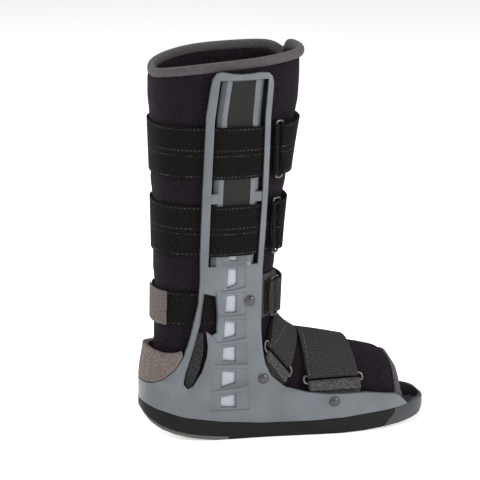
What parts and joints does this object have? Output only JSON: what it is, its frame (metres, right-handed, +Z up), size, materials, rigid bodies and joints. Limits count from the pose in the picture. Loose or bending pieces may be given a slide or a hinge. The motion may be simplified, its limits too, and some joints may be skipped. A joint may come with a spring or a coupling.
{
  "type": "medical walking boot",
  "caption": "Tall rocker-soled walking boot: plastic shell with two uprights, padded liner open at leg and toe, and hook straps closed through wire rings.",
  "frame": {"origin": "under the middle of the boot's box, on the plane that the sole stands on", "axes": "+X to the toe, +Z up the leg, -Y to the side that carries the rings"},
  "size_m": [0.3226, 0.1344, 0.4263],
  "materials": {
    "shell": "satin slate moulding",
    "window_strip": "pale",
    "beam_strip": "fine ribs",
    "midsole": "dark rubber",
    "heel_tread": "warm grey rubber",
    "toe_bumper": "slate rubber",
    "heel_cuff": "brushed taupe",
    "liner": "brushed loop cloth",
    "binding": "folded tape",
    "ankle_pad": "knit",
    "rivet": "satin",
    "calf_strap": "brushed loop webbing",
    "heel_tab": "hook tape",
    "foot_strap": "woven webbing",
    "foot_pad": "heathered knit",
    "ring": "satin wire",
    "ankle_ring": "black wire"
  },
  "bodies": {
    "root": {"shell": "shell", "window_strip_right": "window_strip", "window_strip_left": "window_strip", "beam_strip_right": "beam_strip", "beam_strip_left": "beam_strip", "midsole": "midsole", "heel_tread": "heel_tread", "toe_bumper": "toe_bumper", "heel_cuff": "heel_cuff", "liner": "liner", "toe_binding": "binding", "leg_binding": "binding", "rivet_right_1": "rivet", "rivet_left_1": "rivet", "rivet_right_2": "rivet", "rivet_left_2": "rivet", "rivet_right_3": "rivet", "rivet_left_3": "rivet", "ankle_pad_right": "ankle_pad", "ankle_pad_left": "ankle_pad", "calf_strap_upper": "calf_strap", "calf_ring_upper": "ring", "calf_strap_lower": "calf_strap", "calf_ring_lower": "ring", "heel_strap": "calf_strap", "heel_tab": "heel_tab", "ankle_strap": "foot_strap", "ankle_loop": "foot_strap", "ankle_pad_front": "foot_pad", "ankle_ring": "ankle_ring", "instep_strap": "foot_strap", "instep_pad": "foot_pad", "instep_ring": "ring", "forefoot_strap": "foot_strap", "forefoot_pad": "foot_pad", "forefoot_ring": "ring"}
  },
  "joints": []
}
